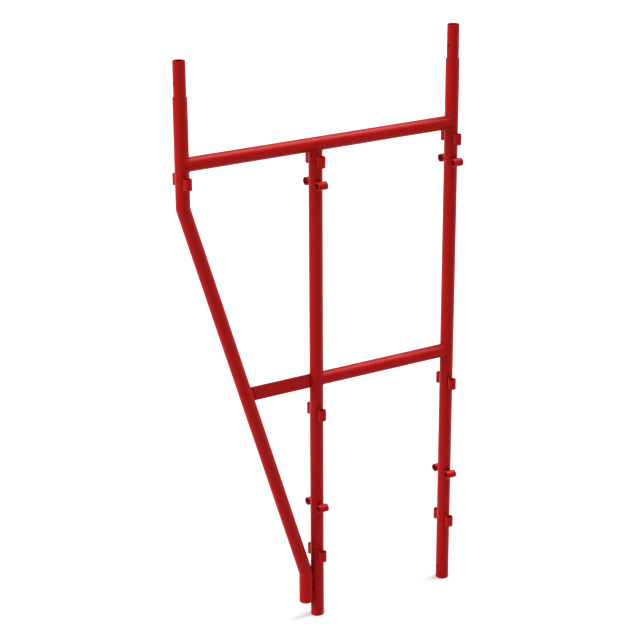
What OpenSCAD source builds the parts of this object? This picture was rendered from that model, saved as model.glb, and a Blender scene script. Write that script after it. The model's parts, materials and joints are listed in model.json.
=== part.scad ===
// Narrow-start frame of a facade scaffold.
//
// A welded frame of round steel tube. It stands on two standards set close
// together and widens upwards: the third standard is bent, so that its foot
// runs down beside the middle standard and its head carries the full-width
// frame above. Short lengths of pipe are welded to the front and back of the
// standards. The upright ones take the hooked ends of guardrails, and the
// level ones take the pins of the diagonal braces. Spigots at the two heads
// and open tube ends at the two feet join the frame to the next one.
//
// Origin: on the ground, midway between the two outer standards.
// +X runs across the scaffold to the straight standard, +Y along the
// scaffold, +Z up. All sizes are in millimetres.

/* [Overall] */
// Distance between the axes of the two outer standards
frame_w = 1050; // [850:10:1260]
// Height of the standards, from the foot to the shoulder of the spigot
frame_h = 2000; // [1900:10:2400]
// Distance between the axes of the middle and the straight standard
foot_w = 550; // [450:10:660]

/* [Tubes] */
// Outer diameter of the frame tube
tube_od = 48.3; // [40:0.1:58]
// Wall of the frame tube
tube_wall = 2.7; // [2.2:0.1:4]
// How far the bore of a foot is opened out to take a spigot, over its diameter
foot_open = 0.6; // [0.4:0.1:1.4]
// Depth of the opened-out bore in a foot
foot_bore_len = 150; // [125:5:180]
// Height of the upper bend, where its two straight axes meet
bend_z = 1629; // [1400:1:1660]
// Height of the lower bend, to within the rounding of the bends' angle
low_bend_z = 179; // [160:1:260]
// Length that a bend takes from each straight stretch, up to the axes' corner
bend_leg = 7; // [6:0.5:20]
// How much a bend draws in the radius of the tube
bend_draw = 0.3; // [0.2:0.05:0.6]
// Height of the bent standard's lower end above the ground
stub_z = 64; // [60:1:80]

/* [Transoms] */
// Height of the top of the upper transom
top_transom_z = 1800; // [1780:5:1830]
// Height of the top of the lower transom
low_transom_z = 950; // [880:5:1140]
// Height of the flat tie bar
tie_h = 50; // [40:1:60]
// Thickness of the flat tie bar
tie_t = 9; // [6:0.5:12]

/* [Spigots] */
// Play of a spigot in the bore of a tube, over its diameter
spigot_play = 0.5; // [0.3:0.1:1.5]
// Wall of a spigot
spigot_wall = 2.6; // [2:0.1:4]
// Length of a spigot above its shoulder
spigot_len = 120; // [100:5:150]
// Length of a spigot held inside the standard
spigot_hold = 130; // [100:5:150]
// Chamfer on the head of a spigot
spigot_chamfer = 1.2; // [0.6:0.1:1.6]
// Width of the neck for the weld, just inside the shoulder
neck_len = 4; // [2:0.5:8]
// Depth of the neck for the weld
neck_cut = 0.6; // [0.3:0.1:1]

/* [Locking-pin holes] */
// Diameter of the holes for the locking pins
lock_d = 11; // [9:0.5:13]
// Distance of a locking-pin hole from the joint of two frames
lock_z = 48; // [40:1:50]

/* [Sockets] */
// Outer diameter of a socket pipe
socket_od = 29; // [22:0.5:35]
// Wall of a socket pipe
socket_wall = 2.6; // [2:0.1:5]
// Length of a socket pipe
socket_len = 37; // [30:1:44]
// Height of the upright sockets just under the upper transom
rail_top_z = 1721.5; // [1712:0.5:1735]
// Height of the upright sockets for the guardrail
rail_mid_z = 803; // [760:1:860]
// Height of the upright sockets for the knee rail
rail_low_z = 249; // [210:1:300]
// Height of the upper level sockets, for braces
brace_top_z = 1639; // [1600:1:1660]
// Height of the lower level sockets, for braces
brace_low_z = 441; // [370:1:530]

/* [Hidden] */
$fn = 96;
// Gap left at each welded seam
weld_gap = 0.2;
// Overlap that makes a cut pass right through a wall
cut_over = 1;
// Angle by which a bend runs on into each straight stretch
bend_lap = 1;

tube_r = tube_od / 2;
bore_r = tube_r - tube_wall;
spigot_od = 2 * bore_r - spigot_play;
foot_bore_d = 2 * bore_r + foot_open;
straight_x = frame_w / 2;
bent_x = -frame_w / 2;
middle_x = straight_x - foot_w;
// The foot of the bent standard lies against the middle standard
stub_x = middle_x - tube_od - weld_gap;

top_axis_z = top_transom_z - tube_r;
low_axis_z = low_transom_z - tube_r;

// Slope of the diagonal stretch from the vertical, to a tenth of a degree
bend_a = round(10 * atan2(stub_x - bent_x, bend_z - low_bend_z)) / 10;
// Radius of the bends, on the axis of the tube
bend_r = bend_leg / tan(bend_a / 2);
// Length of the diagonal stretch, from corner to corner, and the lower corner
diagonal_len = round((stub_x - bent_x) / sin(bend_a) * 100) / 100;
low_corner_z = bend_z - diagonal_len * cos(bend_a);

// Axis of the diagonal stretch at a given height
function diagonal_x(z) = bent_x + (bend_z - z) * tan(bend_a);

// Distance of a socket's axis from the axis of its standard
socket_y = tube_r + weld_gap + socket_od / 2;

// The sockets in rows: name, place across the frame, height, and whether level
socket_rows = [
    ["straight_rail_socket_top", straight_x, rail_top_z, false],
    ["straight_rail_socket_mid", straight_x, rail_mid_z, false],
    ["straight_rail_socket_low", straight_x, rail_low_z, false],
    ["middle_rail_socket_top", middle_x, rail_top_z, false],
    ["middle_rail_socket_mid", middle_x, rail_mid_z, false],
    ["middle_rail_socket_low", middle_x, rail_low_z, false],
    ["bent_rail_socket_top", bent_x, rail_top_z, false],
    ["straight_brace_socket_top", straight_x, brace_top_z, true],
    ["straight_brace_socket_low", straight_x, brace_low_z, true],
    ["middle_brace_socket_top", middle_x, brace_top_z, true],
    ["middle_brace_socket_low", middle_x, brace_low_z, true]];
// The two sides of a standard that carry sockets: name and direction along Y
sides = [["front", -1], ["back", 1]];

function socket_name(row, side) = str(row[0], "_", side[0]);

frame_red = [0.70, 0.08, 0.09];

// A straight pipe standing on the origin
module pipe(od, wall, len) {
    difference() {
        cylinder(d = od, h = len);
        translate([0, 0, -cut_over])
            cylinder(d = od - 2 * wall, h = len + 2 * cut_over);
    }
}

// A rod along X through the origin, for holes and saddles
module rod_x(d, len) {
    rotate([0, 90, 0]) cylinder(d = d, h = len, center = true);
}

// The hole for a locking pin, across a tube at the given height
module lock_hole(z) {
    translate([0, 0, z]) rod_x(lock_d, tube_od + 2 * cut_over);
}

// The space that a standard takes up, with the weld gap around it
module standard_space(x) {
    translate([x, 0, 0]) cylinder(r = tube_r + weld_gap, h = frame_h);
}

// The space that the bent standard's diagonal stretch takes up
module diagonal_space() {
    translate([bent_x, 0, bend_z])
        rotate([0, 180 - bend_a, 0])
            cylinder(r = tube_r + weld_gap, h = diagonal_len);
}

// A standard's tube on the origin's axis, with its foot made to take a spigot
module footed_tube(len) {
    difference() {
        pipe(tube_od, tube_wall, len);
        translate([0, 0, -cut_over]) cylinder(d = foot_bore_d, h = foot_bore_len + cut_over);
        lock_hole(lock_z);
    }
}

module straight_standard() {
    color(frame_red) translate([straight_x, 0, 0]) footed_tube(frame_h);
}

// The middle standard ends in a saddle under the upper transom
module middle_standard() {
    color(frame_red) difference() {
        translate([middle_x, 0, 0]) footed_tube(top_axis_z);
        translate([middle_x, 0, top_axis_z])
            rod_x(tube_od + 2 * weld_gap, tube_od + 2 * cut_over);
    }
}

// A bend: a piece of a ring that leaves the origin along -Z, turning towards
// +X. It is a little thinner than the straight tube and runs on into it.
module bend(r) {
    translate([bend_r, 0, 0]) rotate([90, 180, 0]) rotate([0, 0, -bend_lap])
        rotate_extrude(angle = bend_a + 2 * bend_lap)
            translate([bend_r, 0]) circle(r = r - bend_draw);
}

// A straight stretch up from the corner at the origin, with its bend below it
module bent_end(r, len) {
    translate([0, 0, bend_leg]) {
        cylinder(r = r, h = len - bend_leg);
        bend(r);
    }
}

// The whole run of the bent standard: head, diagonal and foot, each placed
// from the corner before it
module bent_run(r, over) {
    translate([bent_x, 0, bend_z]) {
        bent_end(r, frame_h - bend_z + over);
        rotate([0, 180 - bend_a, 0]) {
            translate([0, 0, bend_leg]) cylinder(r = r, h = diagonal_len - 2 * bend_leg);
            translate([0, 0, diagonal_len]) rotate([0, bend_a, 0])
                bent_end(r, low_corner_z - stub_z + over);
        }
    }
}

module bent_standard() {
    color(frame_red) difference() {
        bent_run(tube_r, 0);
        bent_run(bore_r, cut_over);
    }
}

// A spigot on the origin's axis, standing in the head of a standard
module spigot() {
    out_r = spigot_od / 2;
    in_r = out_r - spigot_wall;
    len = spigot_hold + spigot_len;
    difference() {
        translate([0, 0, frame_h - spigot_hold]) rotate_extrude() polygon([
            [in_r, 0], [out_r, 0],
            [out_r, spigot_hold - neck_len], [out_r - neck_cut, spigot_hold - neck_len],
            [out_r - neck_cut, spigot_hold], [out_r, spigot_hold],
            [out_r, len - spigot_chamfer], [out_r - spigot_chamfer, len], [in_r, len]]);
        lock_hole(frame_h + lock_z);
    }
}

module straight_spigot() {
    color(frame_red) translate([straight_x, 0, 0]) spigot();
}

module bent_spigot() {
    color(frame_red) translate([bent_x, 0, 0]) spigot();
}

// A tube along X at the given height, between two places on that axis
module level_tube(x0, x1, z) {
    translate([x0, 0, z]) rotate([0, 90, 0]) pipe(tube_od, tube_wall, x1 - x0);
}

module top_transom() {
    color(frame_red) difference() {
        level_tube(bent_x, straight_x, top_axis_z);
        standard_space(bent_x);
        standard_space(straight_x);
    }
}

module low_transom() {
    color(frame_red) difference() {
        level_tube(middle_x, straight_x, low_axis_z);
        standard_space(middle_x);
        standard_space(straight_x);
    }
}

// The flat bar from the diagonal stretch to the middle standard
module tie_bar() {
    x0 = diagonal_x(low_axis_z);
    color(frame_red) difference() {
        translate([x0, -tie_t / 2, low_axis_z - tie_h / 2])
            cube([middle_x - x0, tie_t, tie_h]);
        diagonal_space();
        standard_space(middle_x);
    }
}

// A socket on a standard, at its row's place, on one side
module socket(row, side) {
    color(frame_red) translate([row[1], side[1] * socket_y, row[2]])
        rotate([0, row[3] ? 90 : 0, 0]) translate([0, 0, -socket_len / 2])
            pipe(socket_od, socket_wall, socket_len);
}

straight_standard();
middle_standard();
bent_standard();
straight_spigot();
bent_spigot();
top_transom();
low_transom();
tie_bar();
for (row = socket_rows) for (side = sides)
    socket(row, side);
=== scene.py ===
"""Looks for a narrow-start facade scaffold frame: painted tubes, spigots, sockets and weld beads.

Each tube wall is modelled as one closed shell with rounded rims and true pin holes, in the places
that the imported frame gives. The weld beads at the seams are made by Geometry Nodes. All lengths
are in metres.
"""

import json
import logging
import math
from dataclasses import dataclass, field
from enum import Enum

import bmesh
import bpy
import numpy as np
from mathutils import Matrix, Vector

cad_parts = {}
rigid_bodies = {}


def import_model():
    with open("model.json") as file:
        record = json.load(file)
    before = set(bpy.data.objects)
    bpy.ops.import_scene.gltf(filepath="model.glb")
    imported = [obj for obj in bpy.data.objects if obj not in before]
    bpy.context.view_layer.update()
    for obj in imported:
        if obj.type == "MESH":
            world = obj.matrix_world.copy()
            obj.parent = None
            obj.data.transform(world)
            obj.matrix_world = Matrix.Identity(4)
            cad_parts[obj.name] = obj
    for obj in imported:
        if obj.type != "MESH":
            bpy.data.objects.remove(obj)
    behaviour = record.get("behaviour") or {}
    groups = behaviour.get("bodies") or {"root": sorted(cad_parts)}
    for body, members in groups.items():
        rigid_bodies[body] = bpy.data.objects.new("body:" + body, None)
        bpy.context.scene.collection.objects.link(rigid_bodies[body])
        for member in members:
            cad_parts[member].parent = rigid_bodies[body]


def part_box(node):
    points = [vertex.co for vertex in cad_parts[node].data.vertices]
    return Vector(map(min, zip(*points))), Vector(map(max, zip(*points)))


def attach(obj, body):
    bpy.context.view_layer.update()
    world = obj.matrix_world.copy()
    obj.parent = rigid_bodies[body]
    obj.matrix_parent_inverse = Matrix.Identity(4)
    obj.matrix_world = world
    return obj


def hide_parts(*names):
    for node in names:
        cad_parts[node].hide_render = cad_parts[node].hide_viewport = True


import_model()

log = logging.getLogger("scaffold_frame")

MM = 0.001
BODY = "root"
RIM = "rim"
SEED = 7
SIDEWAYS = np.array((0.0, 1.0, 0.0))
LEVEL = -math.pi / 2
FLOAT, VECTOR, COLOUR = "NodeSocketFloat", "NodeSocketVector", "NodeSocketColor"


def unit_rows(vectors: np.ndarray) -> np.ndarray:
    """Gives each row of an array at unit length."""
    return vectors / np.linalg.norm(vectors, axis=1)[:, None]


# ---------------------------------------------------------------- runs of tube


class Run:
    """A line in the plane of the frame that a tube's axis follows, measured from its start."""

    def axis(self, along: np.ndarray) -> tuple[np.ndarray, np.ndarray]:
        """Gives the axis points and the directions across them, in the plane of the frame.

        Args:
            along: Distances from the start.

        Returns:
            Two arrays of points and of unit vectors, one row for each distance.
        """
        raise NotImplementedError

    def place(
        self, along: np.ndarray | float, angle: np.ndarray, radius: np.ndarray | float
    ) -> np.ndarray:
        """Gives points round the axis.

        Args:
            along: Distances from the start, one or as many as the angles.
            angle: Angles round the axis. At a quarter turn the point lies towards +Y.
            radius: Distances from the axis, one or as many as the angles.

        Returns:
            The points, one row for each angle.
        """
        along = np.broadcast_to(np.asarray(along, float), angle.shape)
        radius = np.broadcast_to(np.asarray(radius, float), angle.shape)
        centre, across = self.axis(along)
        in_plane, sideways = radius * np.cos(angle), radius * np.sin(angle)
        return centre + in_plane[:, None] * across + sideways[:, None] * SIDEWAYS


@dataclass
class StraightRun(Run):
    """A straight axis from a start point, at a tilt from the vertical towards -X."""

    start: Vector
    tilt: float = 0.0

    def axis(self, along: np.ndarray) -> tuple[np.ndarray, np.ndarray]:
        """Gives the axis points and the directions across them.

        Args:
            along: Distances from the start.

        Returns:
            Two arrays of points and of unit vectors, one row for each distance.
        """
        direction = np.array((-math.sin(self.tilt), 0.0, math.cos(self.tilt)))
        across = np.array((math.cos(self.tilt), 0.0, math.sin(self.tilt)))
        points = np.array(self.start) + along[:, None] * direction
        return points, np.broadcast_to(across, points.shape)


@dataclass
class BentRun(Run):
    """An upright axis that leans out towards -X between two bends, then stands upright again."""

    foot: Vector
    head_x: float
    head_z: float
    high_bend_z: float
    slope: float
    bend_leg: float

    def __post_init__(self) -> None:
        """Works out the lengths of the stretches and arcs."""
        self.bend_radius = self.bend_leg / math.tan(self.slope / 2)
        self.diagonal = (self.foot.x - self.head_x) / math.sin(self.slope)
        self.low_bend_z = self.high_bend_z - self.diagonal * math.cos(self.slope)
        arc = self.bend_radius * self.slope
        lengths = (
            self.low_bend_z - self.foot.z - self.bend_leg,
            arc,
            self.diagonal - 2 * self.bend_leg,
            arc,
            self.head_z - self.high_bend_z - self.bend_leg,
        )
        self.ends = np.concatenate(((0.0,), np.cumsum(lengths)))

    @property
    def length(self) -> float:
        """The length of the whole axis."""
        return float(self.ends[-1])

    def axis(self, along: np.ndarray) -> tuple[np.ndarray, np.ndarray]:
        """Gives the axis points and the directions across them.

        Args:
            along: Distances from the start.

        Returns:
            Two arrays of points and of unit vectors, one row for each distance.
        """
        radius, slope, ends = self.bend_radius, self.slope, self.ends
        s = along
        tilt = np.interp(s, (ends[1], ends[2], ends[3], ends[4]), (0.0, slope, slope, 0.0))
        x = np.full_like(s, self.foot.x)
        z = self.foot.z + np.minimum(s, ends[1])
        low = np.where(s < ends[2], tilt, slope)
        bent = s > ends[1]
        x = x + np.where(bent, radius * (np.cos(low) - 1), 0.0)
        z = z + np.where(bent, radius * np.sin(low), 0.0)
        straight = np.clip(s - ends[2], 0.0, ends[3] - ends[2])
        x, z = x - straight * math.sin(slope), z + straight * math.cos(slope)
        high = np.where(s > ends[3], tilt, slope)
        x = x - radius * (np.cos(high) - math.cos(slope))
        z = z - radius * (np.sin(high) - math.sin(slope))
        z = z + np.maximum(s - ends[4], 0.0)
        points = np.stack((x, np.zeros_like(x), z), axis=1)
        across = np.stack((np.cos(tilt), np.zeros_like(tilt), np.sin(tilt)), axis=1)
        return points, across

    def bend_stations(self, steps: int) -> list[float]:
        """Gives distances along both bends, and a little before and after them.

        Args:
            steps: How many steps each bend is cut into.

        Returns:
            The distances from the start.
        """
        stations: list[float] = []
        for first, last in ((self.ends[1], self.ends[2]), (self.ends[3], self.ends[4])):
            margin = (last - first) / steps
            stations += list(np.linspace(first - margin, last + margin, steps + 3))
        return stations


# ---------------------------------------------------------------- meshes


class Shell:
    """Gathers the points and faces of one closed piece, and how near each point is to a rim."""

    def __init__(self, name: str) -> None:
        """Starts an empty shell."""
        self.name = name
        self.points: list[np.ndarray] = []
        self.rims: list[np.ndarray] = []
        self.faces: list[tuple[int, ...]] = []
        self.count = 0

    def add_ring(self, points: np.ndarray, rim: float) -> np.ndarray:
        """Adds a ring of points.

        Args:
            points: The points, one row each.
            rim: How near the ring is to a rim, from 0 to 1.

        Returns:
            The points' numbers in the shell.
        """
        numbers = np.arange(self.count, self.count + len(points))
        self.points.append(points)
        self.rims.append(np.full(len(points), rim))
        self.count += len(points)
        return numbers

    def join(
        self, first: np.ndarray, second: np.ndarray, skip: frozenset[int] = frozenset()
    ) -> None:
        """Adds the band of faces between two closed rings.

        Args:
            first: The numbers of the first ring's points.
            second: The numbers of the second ring's points.
            skip: The columns of faces to leave out.
        """
        size = len(first)
        for i in range(size):
            if i not in skip:
                j = (i + 1) % size
                self.faces.append((int(first[i]), int(first[j]), int(second[j]), int(second[i])))

    def make(self) -> bpy.types.Object:
        """Makes the object, with its faces pointing outwards.

        Returns:
            The finished object.
        """
        mesh = bpy.data.meshes.new(self.name)
        mesh.from_pydata(np.concatenate(self.points).tolist(), [], self.faces)
        work = bmesh.new()
        work.from_mesh(mesh)
        layer = work.verts.layers.float.new(RIM)
        for vertex, rim in zip(work.verts, np.concatenate(self.rims)):
            vertex[layer] = float(rim)
        loose = [v for v in work.verts if not v.link_faces]
        bmesh.ops.delete(work, geom=loose, context="VERTS")
        bmesh.ops.recalc_face_normals(work, faces=list(work.faces))
        work.to_mesh(mesh)
        work.free()
        mesh.shade_smooth()
        piece = bpy.data.objects.new(self.name, mesh)
        bpy.context.scene.collection.objects.link(piece)
        return piece


# The rings of a surface, each with its distance along the tube, or OFF_WALL for one on a rim.
Rows = list[tuple[float, np.ndarray]]
OFF_WALL = -1.0
BOTH_WALLS = (0.0, math.pi)


@dataclass(frozen=True)
class PinHole:
    """A round hole through one wall of a tube, at a distance along it and on one side."""

    along: float
    radius: float
    side: float = 0.0


@dataclass
class TubeWall:
    """One tube, as a closed shell with rounded rims.

    The ends may be cut to sit on a round tube of the saddle radius that crosses them at right
    angles. The fields from columns on say how the rims and holes are drawn.
    """

    name: str
    run: Run
    length: float
    outer: float
    inner: float
    saddle_start: float = 0.0
    saddle_end: float = 0.0
    holes: list[PinHole] = field(default_factory=list)
    stations: list[float] = field(default_factory=list)
    foot_bore: float = 0.0
    foot_bore_length: float = 0.0
    chamfer: float = 0.0
    columns: int = 96
    rim_radius: float = 0.5 * MM
    rim_turns: tuple[float, ...] = (0.35, 0.7, 1.0)
    hole_edge: float = 0.35 * MM
    hole_cells: int = 6
    hole_collar: tuple[tuple[float, float], ...] = ((0.4, 0.0), (0.75, 0.1), (1.0, 0.7))
    end_steps: tuple[float, ...] = (0.0, 1.5 * MM, 4 * MM, 9 * MM, 20 * MM)
    bore_lip: tuple[float, float] = (-0.1 * MM, 0.8 * MM)
    rim_fade: float = 3 * MM

    def build(self) -> bpy.types.Object:
        """Builds the tube.

        Returns:
            The finished object.
        """
        shell = Shell(self.name)
        angles = np.linspace(0.0, 2 * math.pi, self.columns, endpoint=False)
        outside = self._wall(shell, angles, self.outer)
        inside = self._wall(shell, angles, self.inner)
        head, foot = (self.outer, self.inner), (self._bore(0.0), self.outer)
        top = self._corner(shell, angles, *head, self.length, self.saddle_end, self.chamfer)
        bottom = self._corner(shell, angles, *foot, 0.0, self.saddle_start, 0.0)
        rows = outside + top + inside[::-1] + bottom
        cells, spans = self._hole_columns(), self._hole_spans()
        for (along, row), (next_along, next_row) in zip(rows, rows[1:] + rows[:1]):
            middle = (along + next_along) / 2
            on_wall = OFF_WALL not in (along, next_along)
            is_open = on_wall and any(low < middle < high for low, high in spans)
            shell.join(row, next_row, cells if is_open else frozenset())
        for hole in self.holes:
            self._drill(shell, hole, outside, inside)
        return shell.make()

    @property
    def step(self) -> float:
        """The width of one column of faces on the outer surface."""
        return 2 * math.pi * self.outer / self.columns

    def _bore(self, along: float) -> float:
        """Gives the inner radius at a distance along the tube."""
        return self.foot_bore if along < self.foot_bore_length else self.inner

    def _rim(self, along: float) -> float:
        """Gives how near a place is to the tube's square-cut ends.

        Args:
            along: The distance along the tube.

        Returns:
            A share from 0, far from them, to 1, on one of them.
        """
        near = []
        if not self.saddle_start:
            near.append(along)
        if not self.saddle_end:
            near.append(self.length - along)
        return math.exp(-min(near) / self.rim_fade) if near else 0.0

    def _cut(self, angles: np.ndarray, radius: float, saddle: float) -> np.ndarray:
        """Gives how far an end is set back at each angle, to sit on a crossing tube.

        Args:
            angles: The angles round the axis.
            radius: The radius of the surface that is cut.
            saddle: The radius of the crossing tube, or 0 for a square cut.

        Returns:
            The set-back at each angle.
        """
        if not saddle:
            return np.zeros_like(angles)
        return np.sqrt(np.maximum(saddle**2 - (radius * np.sin(angles)) ** 2, 0.0))

    def _wall(self, shell: Shell, angles: np.ndarray, radius: float) -> Rows:
        """Adds the rings of the outer or the inner surface.

        Args:
            shell: The shell to add to.
            angles: The angles round the axis.
            radius: The radius of the surface.

        Returns:
            The rings from the start to the end, each with its distance along the tube.
        """
        inner = radius < self.outer
        edge = max(self.rim_radius, 0.0 if inner else self.chamfer)
        first = self.rim_radius if not self.saddle_start else 0.0
        last = self.length - (edge if not self.saddle_end else 0.0)
        ticks = range(-self.hole_cells, self.hole_cells + 1)
        grid = {round(hole.along + k * self.step, 6) for hole in self.holes for k in ticks}
        alongs = grid | {round(station, 6) for station in self.stations}
        alongs |= {round(first + step, 6) for step in self.end_steps}
        alongs |= {round(last - step, 6) for step in self.end_steps}
        if inner and self.foot_bore_length:
            alongs |= {round(self.foot_bore_length + lip, 6) for lip in self.bore_lip}
        spans = self._hole_spans(margin=0.01)
        kept = [s for s in sorted(alongs) if first <= s <= last]
        kept = [s for s in kept if s in grid or not any(low < s < high for low, high in spans)]
        rows = []
        for along in kept:
            bore = self._bore(along) if inner else radius
            share = along / self.length
            back = (1 - share) * self._cut(angles, bore, self.saddle_start)
            back = back - share * self._cut(angles, bore, self.saddle_end)
            points = self.run.place(along + back, angles, bore)
            rows.append((along, shell.add_ring(points, self._rim(along))))
        return rows

    def _corner(
        self,
        shell: Shell,
        angles: np.ndarray,
        first: float,
        second: float,
        along: float,
        saddle: float,
        chamfer: float,
    ) -> Rows:
        """Adds the rings of a square-cut end, from one surface to the other.

        Args:
            shell: The shell to add to.
            angles: The angles round the axis.
            first: The radius of the surface that the rings start from.
            second: The radius of the surface that they lead to.
            along: The end's distance along the tube.
            saddle: The radius of the crossing tube, or 0 for a square cut.
            chamfer: The chamfer on the outer rim.

        Returns:
            The rings in order, none for a saddle end.
        """
        if saddle:
            return []
        inwards = 1.0 if along == 0.0 else -1.0
        middle = (first + second) / 2
        rows = []
        for radius in (first, second):
            size = max(self.rim_radius, chamfer if radius == self.outer else 0.0)
            turn = math.copysign(1.0, middle - radius)
            turns = self.rim_turns if radius == first else self.rim_turns[::-1]
            for share in turns:
                angle = share * math.pi / 2
                step_in = radius + turn * size * (1 - math.cos(angle))
                step_back = along + inwards * size * (1 - math.sin(angle))
                points = self.run.place(step_back, angles, step_in)
                rows.append((OFF_WALL, shell.add_ring(points, 1.0)))
        return rows

    def _hole_columns(self) -> frozenset[int]:
        """Gives the columns of faces that the holes take away.

        Returns:
            The numbers of the columns.
        """
        columns: set[int] = set()
        for hole in self.holes:
            centre = round(hole.side / (2 * math.pi) * self.columns)
            cells = range(-self.hole_cells, self.hole_cells)
            columns |= {(centre + k) % self.columns for k in cells}
        return frozenset(columns)

    def _hole_spans(self, margin: float = 0.0) -> list[tuple[float, float]]:
        """Gives the stretches of the tube that the holes take away, wider by a share of a step."""
        reach = (self.hole_cells + margin) * self.step
        return [(hole.along - reach, hole.along + reach) for hole in self.holes]

    def _drill(self, shell: Shell, hole: PinHole, outside: Rows, inside: Rows) -> None:
        """Fills the square gap round a hole on both surfaces, and joins them through the wall.

        Args:
            shell: The shell to add to.
            hole: The hole.
            outside: The rings of the outer surface.
            inside: The rings of the inner surface.
        """
        edge, size = self.hole_edge, hole.radius + self.hole_edge
        rims: list[np.ndarray] = []
        bore = self._bore(hole.along)
        for rows, radius, inwards in ((outside, self.outer, -1.0), (inside, bore, 1.0)):
            previous, local = self._border(hole, rows, radius)
            turn = np.arctan2(local[:, 1], local[:, 0])
            way = np.stack((np.cos(turn), np.sin(turn)), axis=1)
            for share, rim in self.hole_collar:
                places = (1 - share) * local + share * size * way
                ring = self._ring(shell, hole, places, radius, rim)
                shell.join(previous, ring)
                previous = ring
            for angle in (math.pi / 4, math.pi / 2):
                mouth = hole.radius + edge * (1 - math.sin(angle))
                depth = edge * (1 - math.cos(angle))
                ring = self._ring(shell, hole, mouth * way, radius + inwards * depth, 1.0)
                shell.join(previous, ring)
                previous = ring
            rims.append(previous)
        shell.join(rims[0], rims[1])

    def _ring(
        self, shell: Shell, hole: PinHole, local: np.ndarray, radius: float, rim: float
    ) -> np.ndarray:
        """Adds a ring round a hole, given by places across the tube and along it."""
        angle = hole.side + np.arcsin(np.clip(local[:, 0] / radius, -1.0, 1.0))
        return shell.add_ring(self.run.place(hole.along + local[:, 1], angle, radius), rim)

    def _border(self, hole: PinHole, rows: Rows, radius: float) -> tuple[np.ndarray, np.ndarray]:
        """Gives the border of the square gap round a hole.

        Args:
            hole: The hole.
            rows: The rings of the surface.
            radius: The radius of the surface.

        Returns:
            The numbers of the points round the gap, and their places across and along the tube.
        """
        cells = self.hole_cells
        by_along = dict(rows)
        centre = round(hole.side / (2 * math.pi) * self.columns)
        up, down = range(-cells, cells), range(cells, -cells, -1)
        sides = [(k, -cells) for k in up] + [(cells, k) for k in up]
        sides += [(k, cells) for k in down] + [(-cells, k) for k in down]
        numbers, local = [], []
        for column, row in sides:
            along = round(hole.along + row * self.step, 6)
            numbers.append(by_along[along][(centre + column) % self.columns])
            local.append((radius * math.sin(column * 2 * math.pi / self.columns), row * self.step))
        return np.array(numbers), np.array(local)


@dataclass
class FlatBar:
    """A flat bar along X with rounded edges, whose ends follow the round tubes that they meet."""

    name: str
    middle_z: float
    height: float
    thickness: float
    edge: float = 1.2 * MM
    edge_steps: int = 6
    stations: tuple[float, ...] = (0.0, 0.05, 0.3, 0.7, 0.95, 1.0)
    rim: float = 0.35

    def outline(self) -> np.ndarray:
        """Gives the bar's outline as places in Y and Z, round from the front's lower edge.

        Returns:
            The places, one row each.
        """
        points = []
        half_y, half_z = self.thickness / 2 - self.edge, self.height / 2 - self.edge
        for corner, (sy, sz) in enumerate(((-1, -1), (1, -1), (1, 1), (-1, 1))):
            for k in range(self.edge_steps + 1):
                angle = math.pi + corner * math.pi / 2 + k / self.edge_steps * math.pi / 2
                y, z = self.edge * math.cos(angle), self.edge * math.sin(angle)
                points.append((sy * half_y + y, sz * half_z + z))
        return np.array(points)

    def build(self, start_x: np.ndarray, end_x: np.ndarray) -> bpy.types.Object:
        """Builds the bar between two ends.

        Args:
            start_x: Where each line of the outline starts.
            end_x: Where each line of the outline ends.

        Returns:
            The finished object.
        """
        shell = Shell(self.name)
        outline = self.outline()
        previous = None
        for share in self.stations:
            x = (1 - share) * start_x + share * end_x
            points = np.stack((x, outline[:, 0], self.middle_z + outline[:, 1]), axis=1)
            ring = shell.add_ring(points, self.rim)
            if previous is None:
                shell.faces.append(tuple(int(n) for n in ring))
            else:
                shell.join(previous, ring)
            previous = ring
        shell.faces.append(tuple(int(n) for n in previous))
        return shell.make()


# ---------------------------------------------------------------- node trees


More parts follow.
